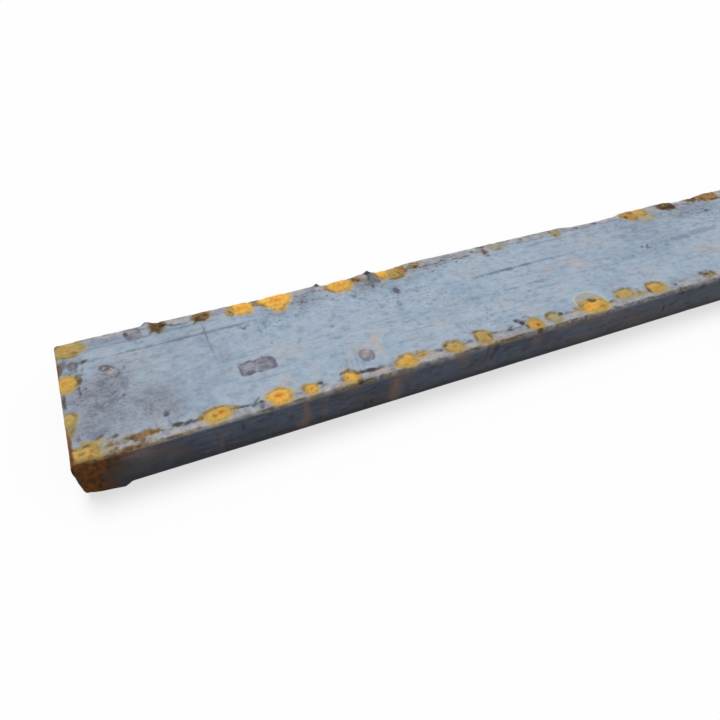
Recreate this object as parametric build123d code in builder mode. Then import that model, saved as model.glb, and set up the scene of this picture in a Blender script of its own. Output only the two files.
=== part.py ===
"""Hot-rolled steel flat bar: one length of solid rectangular stock, cropped in a bar shear at both ends.

Frame: X runs along the bar, Y across its width and Z up. The origin is the centre of the underside.
All sizes are in millimetres.
"""

import os
from math import radians, tan

from build123d import *

# Rolled section
LENGTH = 1000.0
WIDTH = 80.0
THICKNESS = 20.0
ARRIS_RADIUS = 2.0  # rolled corner between a wide face and a narrow one
EDGE_CROWN = 0.3  # how far each narrow face bulges past its arrises

# Sheared ends, from the arris that the blade entered to the opposite one
ROLLOVER_REACH = 2.4  # how far along the bar the blade drew the skin down
ROLLOVER_DEPTH = 1.0
LAND_DEPTH = 3.5  # the bright band that the blade cut before the steel broke
FRACTURE_LEAN = 6.5  # degrees by which the broken part leans in under the land

half_length = LENGTH / 2
half_thickness = THICKNESS / 2
arris_line = WIDTH / 2 - EDGE_CROWN
fracture_height = THICKNESS - ROLLOVER_DEPTH - LAND_DEPTH
fracture_inset = fracture_height * tan(radians(FRACTURE_LEAN))

# Each sketch lies at one side of the bar and its extrusion goes right across, so no face has a seam.
# The side plane is at mid thickness, because half a turn there carries one end's cut onto the other's.
end_plane = Plane.YZ.offset(-half_length)
side_plane = Plane(origin=(0, WIDTH / 2, half_thickness), x_dir=(1, 0, 0), z_dir=(0, -1, 0))

with BuildPart() as flat_bar:
    # The section that the rolls leave: two flat wide faces and two narrow ones with a slight crown.
    with BuildSketch(end_plane) as section:
        with BuildLine():
            Line((-arris_line, THICKNESS), (arris_line, THICKNESS))
            ThreePointArc((arris_line, THICKNESS), (WIDTH / 2, half_thickness), (arris_line, 0))
            Line((arris_line, 0), (-arris_line, 0))
            ThreePointArc((-arris_line, 0), (-WIDTH / 2, half_thickness), (-arris_line, THICKNESS))
        make_face()
        fillet(section.vertices(), radius=ARRIS_RADIUS)
    extrude(amount=LENGTH)

    # The side view that the shear leaves. One end is drawn, and half a turn makes the other: the blade
    # came down on the top arris of this end, and the last cut left the underside's arris of the far one.
    with BuildSketch(side_plane) as side_view:
        with BuildLine() as cut:
            Line(
                (half_length - fracture_inset, half_thickness),
                (ROLLOVER_REACH - half_length, half_thickness),
            )
            EllipticalCenterArc(
                (ROLLOVER_REACH - half_length, half_thickness - ROLLOVER_DEPTH),
                ROLLOVER_REACH,
                ROLLOVER_DEPTH,
                start_angle=90,
                arc_size=90,
            )
            Line(
                (-half_length, half_thickness - ROLLOVER_DEPTH),
                (-half_length, fracture_height - half_thickness),
            )
            Line(
                (-half_length, fracture_height - half_thickness),
                (fracture_inset - half_length, -half_thickness),
            )
            add(cut.line, rotation=180)
        make_face()
    extrude(amount=WIDTH, mode=Mode.INTERSECT)

flat_bar.part.label = "flat_bar"

os.makedirs("parts", exist_ok=True)
export_step(flat_bar.part, "parts/flat_bar.step")
print("flat_bar volume", round(flat_bar.part.volume), "mm3, valid", flat_bar.part.is_valid)
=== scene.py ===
from math import cos, pi, radians, sin, tan

import bpy
import numpy as np
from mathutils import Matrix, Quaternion, Vector, noise


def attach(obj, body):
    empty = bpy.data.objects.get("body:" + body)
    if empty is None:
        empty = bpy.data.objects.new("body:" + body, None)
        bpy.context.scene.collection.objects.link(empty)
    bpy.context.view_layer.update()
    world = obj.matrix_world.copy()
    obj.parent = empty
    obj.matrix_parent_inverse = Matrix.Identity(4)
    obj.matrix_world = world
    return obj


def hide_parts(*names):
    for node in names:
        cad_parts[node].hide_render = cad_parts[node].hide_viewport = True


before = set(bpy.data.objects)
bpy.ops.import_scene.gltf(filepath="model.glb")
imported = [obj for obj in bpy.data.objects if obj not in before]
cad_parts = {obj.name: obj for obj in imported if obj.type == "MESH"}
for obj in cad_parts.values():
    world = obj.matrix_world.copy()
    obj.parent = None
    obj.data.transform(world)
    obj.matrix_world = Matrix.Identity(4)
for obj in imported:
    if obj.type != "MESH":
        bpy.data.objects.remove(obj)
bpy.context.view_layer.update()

# The flat bar: one length of hot-rolled steel, 1000 x 80 x 20 mm, cropped in a shear at both ends. It still
# wears its blue-grey mill scale, and yellow and brown rust has broken through along the arrises.
LENGTH = 1000.0
HALF_WIDTH = 40.0
THICKNESS = 20.0
ARRIS = 2.0
CROWN = 0.2  # how far a narrow face bulges past its arrises
HALF_FLAT = HALF_WIDTH - CROWN - ARRIS  # of the top face, from its middle to where the arris starts
FOOT_FULLNESS = 0.6  # how far the two lower arrises stand out past a plain round
BACK_FULLNESS = 0.35  # the same of the top one at the back
LAND_TOP = 19.0  # the band that the blade cut at the near end, down to its foot
LAND_FOOT = 15.5
ROLLOVER_REACH = 2.4  # how far along the bar the blade drew the skin down
ROLLOVER_DEPTH = THICKNESS - LAND_TOP
DRAWN_DEPTH = 7.0  # how deep the skin of the narrow faces was drawn with it
FRACTURE_LEAN = tan(radians(6.5))
TORN_RELIEF = 0.3  # how lumpy the broken steel is
CUT_BLEND = 12.0  # the length over which the rows of the mesh take up the shape of a cut
LAST_EDGE = 2.6  # the height to which the edge that broke last is worn round
CORNER_STAND = 0.35  # how far the near front corner stands out
SHOWN_LENGTH = 440.0  # what the photograph shows, with the finer mesh

# Places are in mm: u from the left end, v across the top from its middle and on round the section, so v is
# 38 to 41 over the back arris, 41 to 57 down the back face, and negative the same way on the front.
ARC = ARRIS * pi / 2
TOP_ARRIS = HALF_FLAT + ARC
FOOT_ARRIS = TOP_ARRIS + THICKNESS - 2 * ARRIS
UNDERSIDE = FOOT_ARRIS + ARC
HALF_ROUND = UNDERSIDE + HALF_FLAT


def steps(*runs):
    """Places from 0 on, in runs of (end, step)."""
    places = [0.0]
    for end, step in runs:
        count = max(1, round((end - places[-1]) / step))
        places += list(np.linspace(places[-1], end, count + 1)[1:])
    return places


def section(v):
    """y, z and the outward direction at places v round the section."""
    side, s = np.where(v < 0, -1.0, 1.0), abs(v)
    y, z, ny, nz = s.copy(), np.full_like(s, THICKNESS), np.zeros_like(s), np.ones_like(s)
    turn = (s - HALF_FLAT) / ARRIS
    on = (s > HALF_FLAT) & (s <= TOP_ARRIS)
    y[on], z[on] = HALF_FLAT + ARRIS * np.sin(turn[on]), THICKNESS - ARRIS + ARRIS * np.cos(turn[on])
    ny[on], nz[on] = np.sin(turn[on]), np.cos(turn[on])
    on = (s > TOP_ARRIS) & (s <= FOOT_ARRIS)
    z[on] = THICKNESS - ARRIS - (s[on] - TOP_ARRIS)
    y[on] = HALF_WIDTH - CROWN * ((z[on] - THICKNESS / 2) / (THICKNESS / 2 - ARRIS)) ** 2
    ny[on], nz[on] = 1, 0
    turn = (s - FOOT_ARRIS) / ARRIS
    on = (s > FOOT_ARRIS) & (s <= UNDERSIDE)
    y[on], z[on] = HALF_FLAT + ARRIS * np.cos(turn[on]), ARRIS - ARRIS * np.sin(turn[on])
    ny[on], nz[on] = np.cos(turn[on]), -np.sin(turn[on])
    on = s > UNDERSIDE
    y[on], z[on], ny[on], nz[on] = HALF_ROUND - s[on], 0, 0, -1
    return side * y, z, side * ny, nz


def rise(x, low, high):
    """0 below low, 1 above high, and smooth between."""
    t = np.clip((x - low) / (high - low), 0, 1)
    return t * t * (3 - 2 * t)


def lumps(where, size, seed):
    """Smooth bumps about size mm across, from -1 to 1 and the same on every run."""
    shift = Vector((seed * 7.31, seed * 3.17, seed * 5.73))
    return np.array([noise.noise(Vector(p) / size + shift) for p in where])


# The mesh is a grid of rows along the bar and columns round it, closed at each end by shrinking rings.
rows = np.array(
    steps((0.3, 0.1), (ROLLOVER_REACH, 0.42), (SHOWN_LENGTH, 1.0), (SHOWN_LENGTH + 60, 2.0),
          (LENGTH - 12, 2.8), (LENGTH - ROLLOVER_REACH, 1.2), (LENGTH - 0.3, 0.42), (LENGTH, 0.1))
)
half_columns = steps((26.0, 1.3), (HALF_FLAT, 0.7), (TOP_ARRIS, 0.5), (FOOT_ARRIS, 1.3), (UNDERSIDE, 0.8),
                     (UNDERSIDE + 9, 1.5), (HALF_ROUND, 5.6))
columns = np.array([-v for v in half_columns[:0:-1]] + half_columns[:-1])
around = len(columns)
insets = np.array([0.5, 1.2, 2.0, 3.0, 4.2, 5.6, 7.2, 8.8, 9.8])

u, v = (a.ravel() for a in np.meshgrid(rows, columns, indexing="ij"))
cap_u, cap_v = (a.ravel() for a in np.meshgrid(insets, columns, indexing="ij"))
on_near_cap, on_far_cap = len(u), len(u) + len(cap_u)
u = np.concatenate([u, -cap_u, LENGTH + cap_u])
v = np.concatenate([v, cap_v, cap_v])
y, z, ny, nz = section(v)
cap = np.where(u < 0, -u, np.where(u > LENGTH, u - LENGTH, 0))
cap_share = cap / (THICKNESS / 2)


def drop(from_end):
    """How far the blade drew the skin down, from 1 at the end to 0 where its reach stops."""
    return 1 - np.sqrt(1 - np.clip(1 - from_end / ROLLOVER_REACH, 0, 1) ** 2)


# The blade draws the skin down at the end it enters, and half a turn gives the far end the same.
near_drawn = ROLLOVER_DEPTH * drop(u) * rise(z, THICKNESS - DRAWN_DEPTH, THICKNESS)
far_drawn = ROLLOVER_DEPTH * drop(LENGTH - u) * rise(-z, -DRAWN_DEPTH, 0)
z = z - near_drawn + far_drawn
core_y = np.clip(y, THICKNESS / 2 - HALF_WIDTH, HALF_WIDTH - THICKNESS / 2)
y, z = y + (core_y - y) * cap_share, z + (THICKNESS / 2 - z) * cap_share

# The torn part is lumpy, but for the middle line that closes the mesh.
off_middle = 1 - rise(cap, 4, insets[-1])
torn = lumps(np.stack([np.full_like(y, 3), y * 0.5, z * 0.2], 1), 1.0, 21)
torn = off_middle * (torn + 0.6 * lumps(np.stack([np.zeros_like(y), y, z * 0.4], 1), 1.0, 22))


def broken_back(past_land):
    """How far the fracture stands back at a height past the land's foot, never in front of the land."""
    return np.maximum(past_land * FRACTURE_LEAN + TORN_RELIEF * torn * rise(past_land, -0.3, 1.6), 0)


x = np.clip(u, 0, LENGTH) + broken_back(LAND_FOOT - z) * (1 - rise(u, 0, CUT_BLEND))
x = x - broken_back(z - (THICKNESS - LAND_FOOT)) * rise(u, LENGTH - CUT_BLEND, LENGTH)

# The last edge to break is worn round, and the near front corner stands out a little.
near_round = rise(LAST_EDGE - z, 0, LAST_EDGE) * (1 - rise(u, 0, 3))
far_round = rise(z, THICKNESS - LAST_EDGE, THICKNESS) * rise(u, LENGTH - 3, LENGTH)
x += near_round - far_round
x -= (
    CORNER_STAND * np.exp(-(((y + HALF_WIDTH) / 9) ** 2))
    * rise(z, 1, 6) * (1 - rise(z, 18, 19)) * (1 - rise(u, 0, 5))
)
place = np.stack([x, y, z], 1)

# What has happened to the surface, mark by mark. The rust blooms sit along the arrises: where each starts
# and ends along the bar, how far it reaches in from the edge and stops short of it, its colour from pale
# straw 0 to orange 1, how brown it has turned, and how broken up it is.
FRONT_BLOOMS = (
    (-3, 16, 9.8, -1.8, 0.44, 0.12, 0.6), (13, 23, 8.4, 3.6, 0.5, 0.5, 0.5),
    (22.5, 38, 8.0, 3.4, 0.5, 0.7, 0.4), (12, 36, 3.0, -2.0, 0.6, 0.8, 0.75),
    (54, 70.5, 9.8, -0.4, 0.6, 0.1, 0.1), (85, 97.5, 10.4, -0.6, 0.85, 0.0, 0.0),
    (101.8, 109.8, 8.2, -0.8, 0.66, 0.04, 0.15), (121.5, 130.5, 9.6, -0.4, 0.7, 0.06, 0.1),
    (149, 163.0, 9.6, -0.5, 0.56, 0.08, 0.2), (158, 171, 8.4, 2.6, 0.5, 0.2, 0.35),
    (176.5, 189, 9.4, -0.4, 0.34, 0.14, 0.1), (195, 205.2, 11.6, -0.4, 0.34, 0.32, 0.1),
    (225.6, 236.2, 9.4, -1.6, 0.55, 0.32, 0.15), (239, 247.6, 9.2, 0.6, 0.12, 0.0, 0.1),
    (258.6, 280.2, 10.6, -0.2, 0.66, 0.12, 0.2), (285.6, 300, 11.8, 2.2, 0.27, 0.17, 0.2),
    (295, 306, 7.4, 2.0, 0.2, 0.0, 0.4), (307, 320.5, 11.0, -0.2, 0.42, 0.18, 0.1),
    (347.6, 356.6, 8.0, 0.2, 0.12, 0.5, 0.4),
)
BACK_BLOOMS = (
    (-3, 14.8, 11.6, -2, 0.3, 0.0, 0.1), (44.4, 53.6, 8.6, -2, 0.4, 1.0, 0.1),
    (48.5, 54.5, 6.4, -2, 0.55, 0.9, 0.2), (66, 78, 7.4, -3, 0.34, 0.68, 0.2),
    (84, 90, 9.0, -3, 0.5, 0.3, 0.2), (86.6, 99.6, 11.2, -4, 0.88, 0.06, 0.15),
    (102, 120.6, 10.8, -4, 1.0, 0.04, 0.0), (106, 116.8, 14.0, 0, 0.9, 0.06, 0.0),
    (139.6, 157, 10.9, -4, 0.74, 0.08, 0.1), (155, 164, 6.6, -1, 0.3, 0.62, 0.7),
    (171, 179.6, 9.4, -3, 0.9, 0.08, 0.0), (176, 187, 11.0, -3, 0.4, 0.34, 0.15),
    (182.5, 190, 10.0, -2, 0.75, 0.5, 0.1), (189, 200, 6.4, -1, 0.2, 0.5, 0.8),
    (238, 244.6, 3.4, -2, 0.4, 1.0, 0.3), (239.4, 243.6, 8.6, 0, 0.3, 1.0, 0.25),
    (246, 256.5, 7.4, -1, 0.0, 0.0, 0.25), (290, 297.8, 7.4, -3, 0.16, 0.35, 0.2),
    (345.5, 359.5, 10.2, -3, 0.66, 0.46, 0.2), (355, 368, 7.2, -2, 0.5, 0.0, 0.1),
    (376.6, 391.4, 8.8, -2, 0.5, 1.0, 0.05), (400, 414.5, 7.6, -1, 0.3, 0.9, 0.9),
    (412.5, 431, 9.2, -3, 0.5, 0.62, 0.25),
)
# Three more lie against the left end, given by their middles and half sizes.
END_BLOOMS = (
    (2.6, 9.9, 6.2, 6.0, 0.5, 0.02, 0.0), (1.4, -13.8, 4.8, 5.4, 0.32, 0.1, 0.1),
    (0.2, -21.5, 3.8, 4.5, 0.26, 0.45, 0.4),
)

# The orange heart of a bloom, where it has one: middle and half sizes.
HEARTS = (
    (64.6, -33.4, 3.0, 2.2), (91.0, -33.4, 3.0, 2.2), (106, -34.6, 1.3, 1.4), (124.4, -34.4, 1.0, 0.9),
    (156.5, -35, 3.0, 1.4), (179.5, -36.4, 1.6, 1.0), (198.6, -35.6, 1.8, 1.8), (231.6, -35.0, 2.6, 2.6),
    (266, -33.0, 3.0, 1.8), (273.6, -34.2, 3.0, 1.4), (313.6, -34.2, 2.6, 1.6), (93.4, 34.4, 3.0, 1.8),
    (112.6, 34.0, 4.0, 2.0), (148, 33.8, 3.4, 1.8), (175.6, 33.6, 1.6, 2.0), (186.4, 34.2, 1.6, 1.8),
    (352.0, 34.0, 3.2, 2.4), (384, 36.6, 2.6, 1.0), (422, 35, 4.0, 1.8), (3, 10.2, 1.6, 1.8),
    (32, -34.6, 3.4, 0.9), (72.2, 35.2, 0.9, 1.4),
)
# Dark marks: middle u and v, half length and half width, turn in degrees, and how dark.
MARKS = (
    (9, 30.5, 0.8, 0.7, 0, 1.0), (33.6, 35.0, 1.0, 1.4, -10, 0.8), (54.5, 35, 1.7, 0.6, 0, 0.8),
    (12.3, 22.6, 1.5, 1.0, 20, 0.8), (9.6, 22.2, 1.2, 0.4, 0, 0.7), (11.2, 17.4, 0.5, 1.5, -25, 0.8),
    (10.4, 14.6, 0.5, 1.2, -20, 0.6), (8.5, 1.0, 0.6, 1.5, -6, 0.9), (8.1, -1.6, 0.4, 1.0, 0, 0.5),
    (8.2, 5.0, 0.7, 1.6, 10, 0.85), (11, 3.6, 0.4, 1.6, 0, 0.6), (11.2, -1, 0.4, 1.4, 0, 0.4),
    (9.3, 10.4, 0.7, 2.4, -8, 0.9), (8.7, 13.8, 0.9, 1.0, 30, 0.7), (8.2, 18, 0.5, 2.0, -10, 0.6),
    (1.4, 21.5, 1.6, 5.0, 0, 0.62), (3.2, 24.4, 1.4, 2.0, 30, 0.6), (4.4, 16.4, 2.6, 0.6, -8, 0.7),
    (6.4, 20.2, 0.7, 1.6, 0, 0.55), (23.6, -8.2, 0.8, 0.7, 30, 0.6), (26.4, -6.4, 0.7, 0.9, 0, 0.75),
    (22.8, -3, 0.7, 1.0, 0, 0.6), (28.2, -1, 0.5, 1.2, -25, 0.6), (29, 1.6, 0.35, 0.9, -25, 0.5),
    (21.8, -7.2, 0.4, 1.2, 0, 0.5), (31.6, -2, 0.6, 0.8, 0, 0.5), (12, -25, 1.8, 1.0, 0, 0.4),
    (13.4, -27.6, 1.2, 0.6, 30, 0.75), (4.8, -25.5, 0.6, 1.3, 0, 0.6), (7.0, -30.8, 1.6, 0.6, 0, 0.8),
    (19.2, -29.9, 1.5, 0.9, 10, 0.8), (17, -33.4, 1.6, 0.7, 0, 0.8), (20.5, -21.4, 0.4, 1.2, -20, 0.5),
    (23.0, -20.6, 0.5, 1.0, -20, 0.5), (14, -12.5, 2.2, 0.8, 15, 0.3), (16.6, -17, 1.4, 0.6, 0, 0.35),
    (29.3, -9.8, 0.7, 0.6, 0, 0.5), (29.2, -19.8, 0.4, 0.9, 0, 0.45), (41.6, -25.4, 0.9, 1.4, -15, 0.75),
    (42, -29.6, 0.4, 2.4, 0, 0.55), (36.4, -30.2, 0.6, 1.6, 0, 0.35), (33.2, -30.4, 0.6, 1.4, 0, 0.4),
    (58.4, -28.3, 1.1, 0.5, 10, 0.5), (33, -13, 1.8, 0.7, 20, 0.35), (37.6, -3.8, 1.4, 0.6, 0, 0.3),
    (30.4, -4.4, 1.6, 0.5, 0, 0.3), (35, -7.6, 1.2, 0.7, 0, 0.28), (40.6, -11, 0.7, 1.2, 0, 0.3),
    (29.4, 12.4, 0.6, 1.1, 0, 0.5), (37.5, 27.5, 0.7, 1.6, 0, 0.4), (89.8, 17.9, 1.2, 0.9, 0, 0.65),
    (88.4, 20, 1.2, 1.0, 0, 0.4), (91.5, 19.6, 1.4, 0.8, 0, 0.4), (101, 19, 1.5, 0.9, 0, 0.4),
    (117.2, 17.8, 0.9, 1.2, -20, 0.5), (124.3, 27.6, 0.8, 1.3, -20, 0.65),
    (104.4, 28.1, 1.5, 1.0, -20, 0.75), (96.5, 12.6, 0.9, 1.4, 0, 0.45), (99, 2.2, 0.8, 1.0, 0, 0.5),
    (112.8, -1.0, 0.6, 1.3, -15, 0.3), (131.7, 3.1, 1.3, 1.0, 0, 0.4), (131.4, -6.4, 3.0, 1.2, 0, 0.36),
    (152.6, 21.8, 1.5, 2.0, 0, 0.42), (152.4, 16, 1.0, 1.2, 0, 0.3), (162, 7.6, 1.0, 1.2, 0, 0.36),
    (172.4, 6.9, 1.2, 1.6, 0, 0.4), (171.7, 2, 1.0, 1.1, 0, 0.32), (172.1, -1.1, 1.0, 0.8, 0, 0.3),
    (176.0, 18.3, 1.9, 3.2, -8, 0.62), (173.2, 18.0, 2.4, 2.8, 0, 0.3), (169.4, 18.4, 1.6, 2.6, 0, 0.2),
    (165.6, 27.0, 1.3, 1.6, -20, 0.75), (163.6, 28.4, 1.4, 0.9, 0, 0.55), (187.2, 16.5, 0.8, 1.1, 0, 0.4),
    (167.6, -7, 1.0, 0.6, 0, 0.2), (166.2, 33.6, 0.8, 2.4, -15, 0.7), (169.2, 31.4, 1.2, 2.4, 12, 0.52),
    (171.4, 34.4, 0.8, 2.4, 10, 0.8), (170.6, 30, 1.0, 1.2, 0, 0.6), (159.8, 34.0, 0.8, 1.6, -20, 0.85),
    (157.6, 36.0, 1.2, 0.8, 0, 0.7), (158.6, 31.6, 0.6, 0.9, 0, 0.5), (100.6, 35.6, 1.2, 2.6, 0, 0.6),
    (79.6, 33.5, 0.4, 3.0, 0, 0.35), (133, 34.5, 1.2, 1.4, -30, 0.45), (126.5, 33, 0.5, 3.4, -15, 0.4),
    (234.5, 35.6, 1.1, 1.0, 0, 0.9), (241.4, 28.6, 1.4, 0.5, 20, 0.6), (269, 36.4, 1.8, 1.1, 0, 0.55),
    (309, 35.6, 2.8, 1.1, 0, 0.75), (324.6, 35.8, 2.4, 1.0, 0, 0.7), (52, 35.8, 1.5, 1.6, 0, 1.0),
    (46, 33.4, 0.8, 2.2, -10, 0.8), (48.4, 31.4, 1.6, 0.7, 10, 0.8), (69.4, 34.4, 1.0, 2.2, -20, 0.9),
    (74.6, 36, 1.6, 1.2, 0, 0.9), (72, 32.6, 1.6, 0.7, 0, 0.7), (86.4, 33.6, 0.7, 2.6, 20, 0.7),
    (88.6, 35.0, 0.6, 1.8, 20, 0.5), (103.6, 33.0, 1.0, 2.4, 30, 0.5), (141.4, 31.4, 0.7, 2.6, 35, 0.75),
    (173.4, 31.4, 0.7, 2.0, 25, 0.8), (179.0, 28.6, 2.6, 0.6, -6, 0.85), (184.2, 28.9, 2.6, 0.6, 16, 0.8),
    (188.9, 33.8, 0.7, 3.0, -10, 0.95), (184.0, 33.4, 0.6, 2.6, 20, 0.7), (187, 36.2, 1.6, 0.8, 0, 0.85),
    (181.0, 31.6, 1.2, 0.8, 20, 0.5), (195.6, 34.8, 1.2, 1.2, 0, 0.7), (292.0, 32.6, 1.6, 0.7, 20, 0.6),
    (291.4, 36.6, 0.7, 1.6, 0, 0.5), (349.4, 33.6, 1.4, 1.8, 30, 0.7), (354.6, 36.4, 2.0, 0.7, 15, 0.6),
    (380.4, 33.4, 2.0, 1.6, 20, 1.0), (386.4, 33.4, 3.0, 1.6, -10, 1.0), (381, 37.4, 2.0, 0.9, 10, 0.9),
    (389.4, 36.0, 1.2, 2.0, 0, 0.9), (416.4, 34.4, 1.0, 2.6, 30, 0.8), (424, 31.6, 3.6, 0.8, -4, 0.8),
    (410.4, 34.6, 2.0, 1.4, 0, 0.7), (404.6, 35.6, 1.6, 1.2, 0, 0.7), (227.4, -11, 0.9, 0.6, -30, 0.4),
    (244.5, -9.2, 1.1, 0.5, 20, 0.5), (213.2, -19.7, 0.9, 0.6, 0, 0.5), (335.4, 2.6, 0.9, 0.6, 30, 0.8),
    (338.6, 1.8, 1.6, 0.6, 50, 0.95), (339.0, 0.3, 1.4, 0.6, -8, 0.95), (340.2, 3.4, 1.0, 0.3, 30, 0.5),
    (352, -1.5, 1.8, 1.0, 0, 0.5), (323.5, -4, 1.5, 1.3, 0, 0.35), (370, -0.2, 1.6, 0.7, 10, 0.4),
    (406, 21.3, 2.2, 0.8, 10, 0.85), (401, 20.8, 6.0, 0.6, 0, 0.5), (345, 20.5, 3.0, 0.7, 30, 0.4),
    (355, 11.8, 3.0, 0.7, 25, 0.42), (336.4, 28, 1.8, 0.5, 45, 0.4), (45, -33.0, 3.0, 0.9, -6, 0.9),
    (49.2, -33.6, 2.2, 1.0, 10, 0.85), (53, -33.8, 2.4, 0.8, 0, 0.9), (75, -33.9, 5.2, 0.6, -3, 0.95),
    (71, -33.0, 1.6, 0.6, -20, 0.9), (80.6, -32.4, 1.8, 0.5, 40, 0.7), (82.2, -34.0, 1.0, 0.8, 0, 0.75),
    (82, -37, 1.2, 1.2, 0, 0.6), (111.4, -33, 1.5, 0.8, 0, 0.85), (134.6, -33.4, 4.8, 0.8, -5, 1.0),
    (137.6, -34.4, 1.6, 0.6, 20, 0.7), (142.8, -33.6, 0.8, 0.9, 0, 0.5), (172.2, -33, 1.7, 0.9, 10, 0.65),
    (174.8, -34.0, 0.9, 0.7, 0, 0.7), (165, -33.4, 1.6, 0.6, 0, 0.6), (191.6, -33.5, 1.5, 1.0, 0, 0.45),
    (215.2, -33.4, 2.0, 0.8, 10, 0.95), (217, -32.2, 1.2, 0.5, 20, 0.8), (208, -32.6, 3.0, 0.4, 0, 0.5),
    (224.8, -31.6, 1.6, 2.4, 30, 0.86), (223.2, -29.6, 1.7, 1.2, -40, 0.7),
    (226.0, -33.6, 0.8, 2.6, 0, 0.8), (228.6, -27.6, 2.0, 1.0, 10, 0.5),
    (230.4, -28.4, 0.7, 1.2, 20, 0.5), (248.6, -32.6, 1.4, 1.1, 0, 0.85), (252, -33.2, 2.0, 0.5, 0, 0.45),
    (281, -34.2, 1.4, 0.7, 15, 0.85), (302.6, -30, 1.4, 0.9, 20, 0.35), (301.8, -33.4, 1.4, 0.7, 0, 0.5),
    (326.6, -35, 1.0, 0.8, 0, 0.7), (137, 39.8, 1.8, 2.2, 0, 0.9), (167.5, 39.6, 2.8, 2.2, 0, 0.95),
    (44, 40.2, 3.0, 1.6, 0, 0.5), (123.2, -30.6, 2.2, 0.9, 26, 0.95), (126.6, -29.8, 2.0, 0.8, -8, 1.0),
    (129.2, -31.4, 0.8, 1.2, 30, 0.75), (121.7, -33.6, 0.6, 2.2, 0, 0.8), (129.4, -39, 1.3, 1.5, 0, 1.0),
    (230.6, -39.8, 2.4, 1.2, 0, 0.95), (272, -29.8, 1.9, 1.2, 0, 0.76), (274, -35.6, 2.4, 0.7, 8, 0.5),
    (54.8, -33.6, 1.2, 1.4, 0, 0.7), (124.2, -34.5, 0.8, 0.7, 0, 0.9), (232.4, -35.8, 1.0, 0.9, 0, 0.66),
    (69.6, -33.6, 0.4, 3.0, -6, 0.5), (60.6, -34.2, 0.8, 1.4, 15, 0.5), (63.6, -33.2, 1.0, 0.4, 20, 0.5),
    (91.0, -33.4, 1.4, 0.4, 0, 0.45), (178.6, -31.6, 1.2, 0.7, 20, 0.7), (183, -34.2, 0.7, 0.5, 0, 0.6),
    (196.0, -32.6, 0.7, 2.6, -6, 0.9), (199, -28.0, 2.6, 0.6, 6, 0.75), (203.6, -33.6, 0.7, 1.8, 15, 0.6),
    (241.4, -30.6, 1.8, 0.6, 25, 0.6), (240.0, -34.4, 0.5, 2.2, 0, 0.45),
    (308.4, -33.4, 0.7, 2.6, -12, 0.65), (313, -28.8, 3.0, 0.6, 0, 0.55),
    (318.4, -31.4, 0.6, 1.8, 25, 0.5), (316.4, -33.4, 1.6, 0.6, 10, 0.5),
    (287.6, -31.8, 1.4, 0.6, 50, 0.55), (292, -27.2, 3.0, 0.5, 0, 0.4), (348.6, -32.0, 2.2, 0.8, 25, 0.7),
    (352.4, -31.2, 1.6, 0.7, 0, 0.6), (351, -33.8, 1.6, 0.8, 0, 0.9), (347.4, -35.4, 0.7, 1.6, 0, 0.6),
    (355.8, -34, 0.8, 1.4, 0, 0.6), (0.6, -26.5, 1.4, 4.2, 0, 0.85), (1.2, -1, 0.7, 3.6, 0, 0.8),
    (5.2, -34.4, 1.4, 1.0, 20, 0.5), (9.4, -33.8, 1.0, 1.6, 0, 0.45), (25.0, -33.2, 1.4, 0.8, 0, 0.85),
    (27.8, -35.8, 1.8, 0.5, 0, 0.7), (36.4, -33.4, 1.0, 0.8, 0, 0.7),
    # round and over the scar of the double flake
    (95.0, -7.0, 1.6, 1.1, -40, 0.65), (82.5, -6.6, 2.8, 0.6, 6, 0.5), (83.4, -14.0, 1.6, 1.0, 0, 0.6),
    (91.4, -14.9, 2.4, 0.7, 4, 0.5), (95.9, -11.4, 0.6, 2.6, -8, 0.6), (79.5, -10.8, 0.6, 2.8, 0, 0.55),
    (93.2, -8.6, 1.2, 0.6, -40, 0.5), (86.6, -9.6, 0.5, 2.4, -20, 0.35), (88.8, -12.6, 0.8, 1.4, 0, 0.35),
    (138.6, -26.6, 2.6, 1.4, 0, 0.4), (135.8, -23.2, 0.6, 2.6, 0, 0.5),
    (142.4, -22.6, 0.6, 1.2, -20, 0.4),
    # long dark streaks from the rolls, one hairline across and a few scratches
    (58, 22.2, 42, 0.7, 0, 0.5), (72, 21.8, 22, 0.6, 0, 0.48), (42, 30.4, 28, 0.5, 0, 0.46),
    (20, 33, 12, 0.5, 0, 0.3), (254, 12.9, 30, 0.6, 0, 0.42), (239, 12.7, 12, 1.0, 0, 0.5),
    (255, 13.1, 14, 0.9, 0, 0.5), (163, -4.8, 24, 0.5, 0, 0.3), (217, -4.2, 8, 0.9, 0, 0.3),
    (237, -4, 6, 0.8, 0, 0.34), (254, -3.9, 8, 1.0, 0, 0.36), (296, -4.8, 18, 0.5, 0, 0.3),
    (278, 28.8, 26, 0.7, 0, 0.26), (366, 2.0, 14, 2.0, 2, 0.34), (384, 3.2, 12, 2.4, 2, 0.34),
    (376, 10, 26, 0.9, 0, 0.26), (385, 21, 16, 0.8, 0, 0.3), (256, 4.2, 10, 1.2, -4, 0.2),
    (70.6, 19.5, 0.3, 7.5, 0, 0.6), (70.8, 7, 0.3, 5, 0, 0.4), (73.6, 1, 0.3, 2.6, -6, 0.4),
    (56, -4.8, 16, 0.5, 0, 0.2), (116, -9, 14, 0.6, 0, 0.18), (126.4, -26, 0.3, 4, -10, 0.34),
    (128, -25.4, 0.3, 5, -10, 0.4), (130.2, -26.6, 0.3, 4, -10, 0.34), (132.8, -26.4, 0.3, 4.6, -10, 0.4),
    (135.2, -27, 0.3, 3, -10, 0.34), (125, 25, 0.3, 5, -25, 0.34), (127.6, 28, 0.3, 4, -25, 0.34),
    (121.4, 22.6, 0.3, 4, -25, 0.3), (100, 7.4, 0.3, 2.4, -15, 0.25),
    # on the front face
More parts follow.
